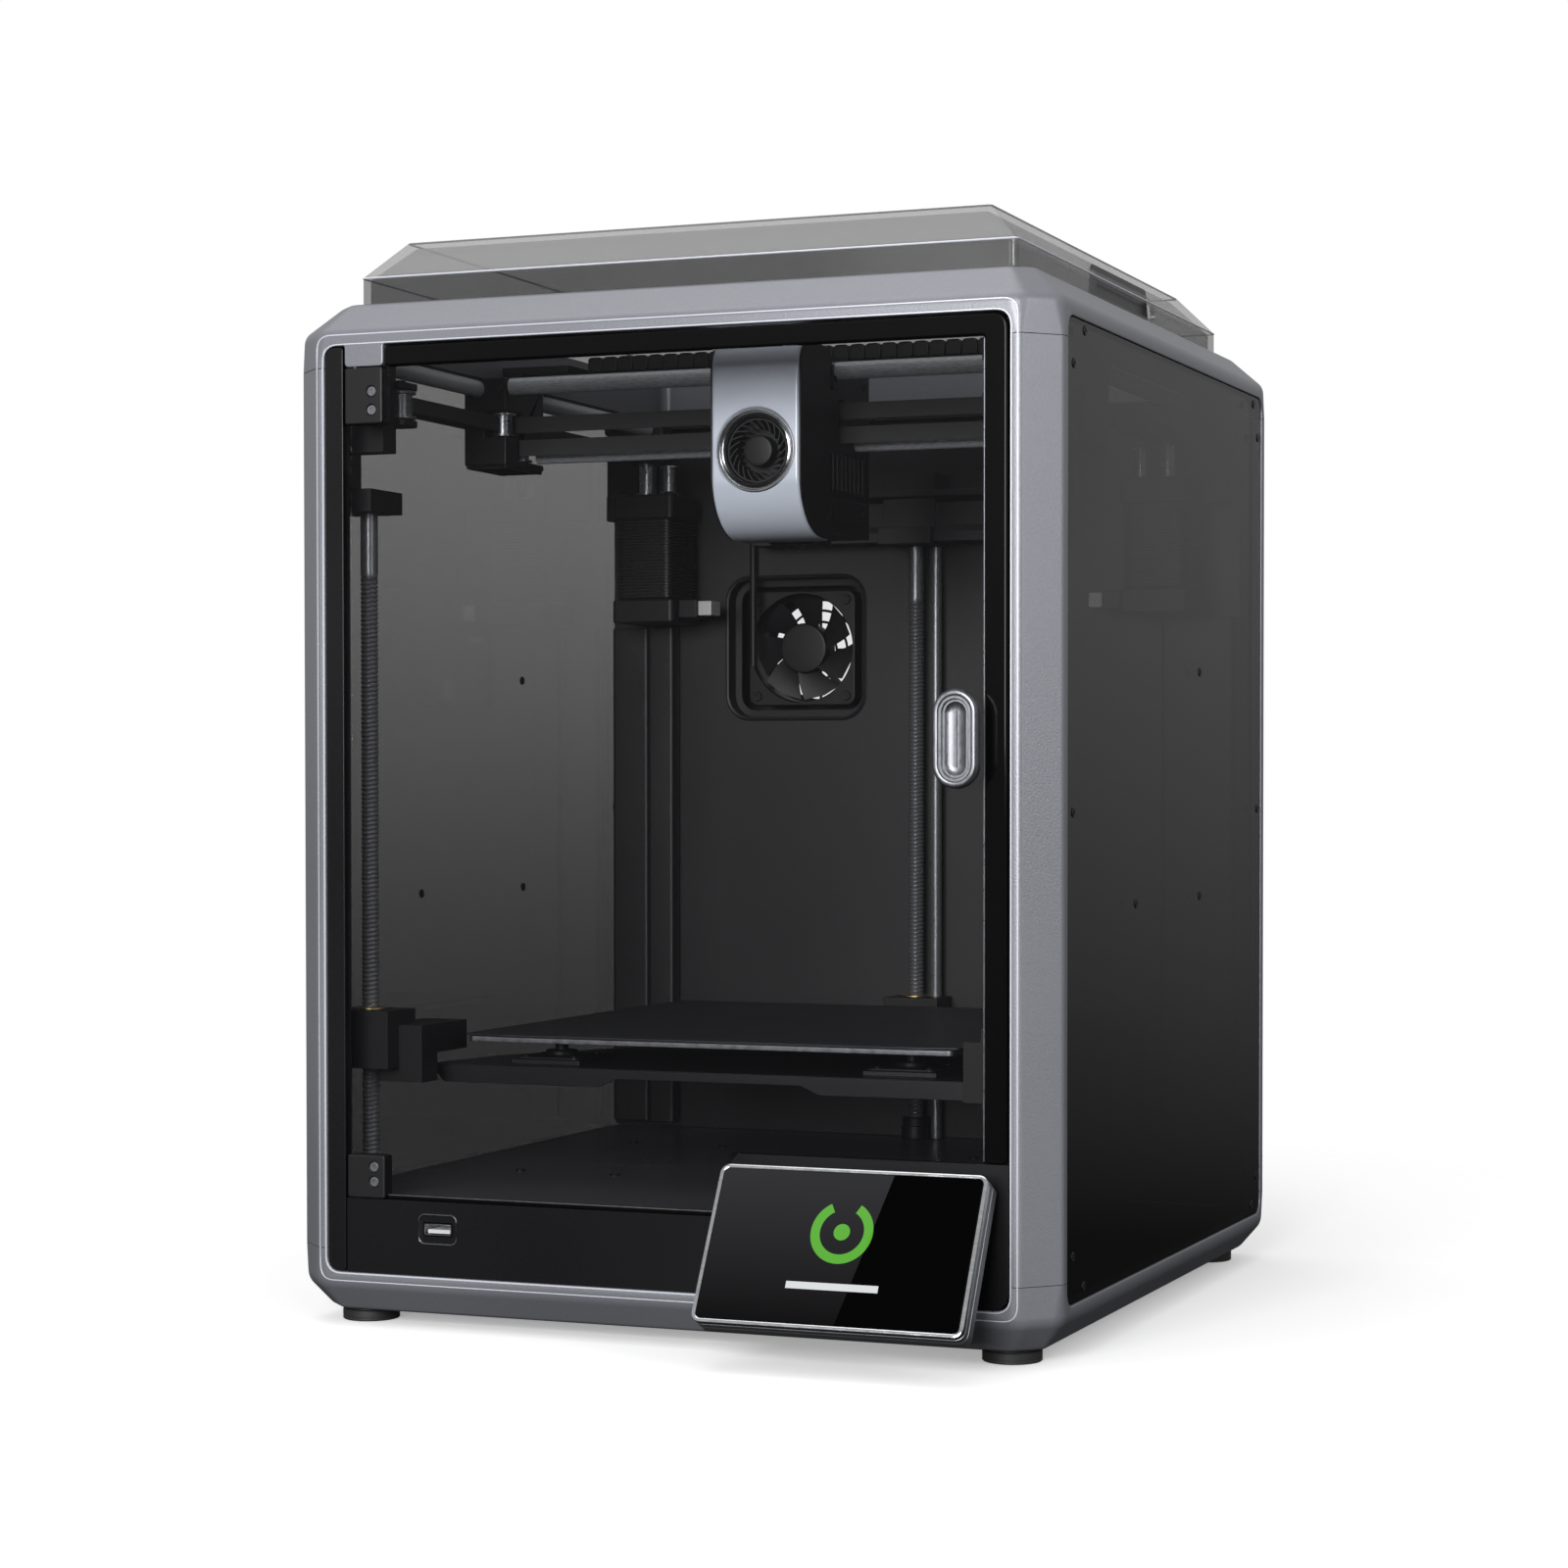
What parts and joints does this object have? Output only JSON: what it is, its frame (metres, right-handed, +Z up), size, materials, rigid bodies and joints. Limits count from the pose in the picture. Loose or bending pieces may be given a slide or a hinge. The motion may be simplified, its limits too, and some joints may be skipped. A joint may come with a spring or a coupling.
{
  "type": "fdm printer",
  "caption": "Enclosed desktop fused-filament printer with a hinged glass door, lift-off smoked lid, tilted touch display, rod gantry and lifting bed.",
  "frame": {"origin": "middle of the whole outline, display included, on the plane the feet stand on", "axes": "+X to the right seen from the door, +Y to the back, +Z up"},
  "size_m": [0.355, 0.4006, 0.48],
  "materials": {
    "frame": "fine-grained metallic grey paint over moulded plastic",
    "smoked_panel": "dark, nearly opaque tinted panel, glossy",
    "dark_sheet": "dark satin powder coat on sheet steel",
    "black_gloss": "smooth black",
    "bright_metal": "bright silver",
    "display_shell": "grey with a thin bright rim",
    "display_glass": "black glossy cover over a screen",
    "rubber": "black, matte",
    "steel": "ground steel",
    "black_plastic": "satin black",
    "bed_casting": "black anodised",
    "heater": "plain rolled plate",
    "build_surface": "fine-grained dark coating on spring steel",
    "belt": "black toothed belt",
    "head_metal": "bluish grey metallic, softly bright",
    "brass": "plain",
    "door_glass": "grey-tinted tempered glass with a printed black border",
    "smoked_lid": "dark smoked clear plastic, glossy"
  },
  "bodies": {
    "base": {"top_frame": "frame", "base_tray": "frame", "post_front_left": "frame", "post_front_right": "frame", "post_rear_left": "frame", "post_rear_right": "frame", "side_panel_left": "smoked_panel", "side_panel_right": "smoked_panel", "rear_panel": "dark_sheet", "chamber_back_wall": "dark_sheet", "chamber_floor": "dark_sheet", "left_trim": "black_gloss", "lower_bezel": "black_gloss", "usb_port": "bright_metal", "display_housing": "display_shell", "display_glass": "display_glass", "foot_front_left": "rubber", "foot_front_right": "rubber", "foot_rear_left": "rubber", "foot_rear_right": "rubber", "guide_rod_front_left": "steel", "guide_rod_front_right": "steel", "guide_rod_rear": "steel", "z_motor": "black_plastic", "power_supply": "bright_metal", "corner_bracket_left": "black_plastic", "corner_bracket_right": "black_plastic", "rear_rail": "dark_sheet", "y_rod_left": "steel", "y_rod_right": "steel", "xy_motor_left": "black_plastic", "xy_motor_right": "black_plastic", "chamber_fan_frame": "black_plastic", "power_inlet": "black_plastic"},
    "door": {"door_glass": "door_glass", "hinge_block_upper": "black_plastic", "hinge_block_lower": "black_plastic", "door_handle": "bright_metal"},
    "lid": {"lid": "smoked_lid"},
    "bed": {"bed_tray": "bed_casting", "nut_bracket_left": "black_plastic", "nut_bracket_right": "black_plastic", "nut_bracket_rear": "black_plastic", "heater_plate": "heater"},
    "build_plate": {"build_plate": "build_surface"},
    "screw_front_left": {"lead_screw_front_left": "steel"},
    "screw_front_right": {"lead_screw_front_right": "steel"},
    "screw_rear": {"lead_screw_rear": "steel"},
    "gantry": {"gantry_block_left": "black_plastic", "gantry_block_right": "black_plastic", "x_rod_upper": "steel", "x_rod_lower": "steel", "drive_belt_upper": "belt", "drive_belt_lower": "belt"},
    "head": {"head_body": "black_plastic", "head_cover": "head_metal", "hot_end": "brass"},
    "head_fan": {"head_fan_rotor": "black_plastic"},
    "chamber_fan": {"chamber_fan_rotor": "black_plastic"},
    "power_switch": {"power_switch": "black_plastic"}
  },
  "joints": [
    {"name": "door_hinge", "type": "hinge", "parent": "base", "child": "door", "pos_m": [-0.1444, -0.15169, 0.243], "axis": [0, 0, -1], "range_deg": [0, 110]},
    {"name": "lid_lift", "type": "slide", "parent": "base", "child": "lid", "axis": [0, 0, 1], "range_m": [0, 0.06]},
    {"name": "bed_lift", "type": "slide", "parent": "base", "child": "bed", "axis": [0, 0, 1], "range_m": [-0.031, 0.2185]},
    {"name": "build_plate_pull", "type": "slide", "parent": "bed", "child": "build_plate", "axis": [0, -1, 0], "range_m": [0, 0.04]},
    {"name": "screw_front_left_spin", "type": "hinge", "parent": "base", "child": "screw_front_left", "pos_m": [-0.1575, -0.11779, 0.2], "axis": [0, 0, 1], "continuous": true},
    {"name": "screw_front_right_spin", "type": "hinge", "parent": "base", "child": "screw_front_right", "pos_m": [0.1575, -0.11779, 0.2], "axis": [0, 0, 1], "continuous": true},
    {"name": "screw_rear_spin", "type": "hinge", "parent": "base", "child": "screw_rear", "pos_m": [0.003, 0.15581, 0.2], "axis": [0, 0, 1], "continuous": true},
    {"name": "gantry_slide", "type": "slide", "parent": "base", "child": "gantry", "axis": [0, 1, 0], "range_m": [-0.044, 0.114]},
    {"name": "head_slide", "type": "slide", "parent": "gantry", "child": "head", "axis": [1, 0, 0], "range_m": [-0.122, 0.095]},
    {"name": "head_fan_spin", "type": "hinge", "parent": "head", "child": "head_fan", "pos_m": [0.0134, -0.06819, 0.3863], "axis": [0, 1, 0], "continuous": true},
    {"name": "chamber_fan_spin", "type": "hinge", "parent": "base", "child": "chamber_fan", "pos_m": [-0.0665, 0.17831, 0.3095], "axis": [0, 1, 0], "continuous": true},
    {"name": "power_switch_rock", "type": "hinge", "parent": "base", "child": "power_switch", "pos_m": [0.118, 0.19381, 0.088], "axis": [1, 0, 0], "range_deg": [0, 14]}
  ],
  "couplings": [
    {"joint": "screw_front_left_spin", "follows": "bed_lift", "rad_per_m": 785.4},
    {"joint": "screw_front_right_spin", "follows": "bed_lift", "rad_per_m": 785.4},
    {"joint": "screw_rear_spin", "follows": "bed_lift", "rad_per_m": 785.4}
  ]
}
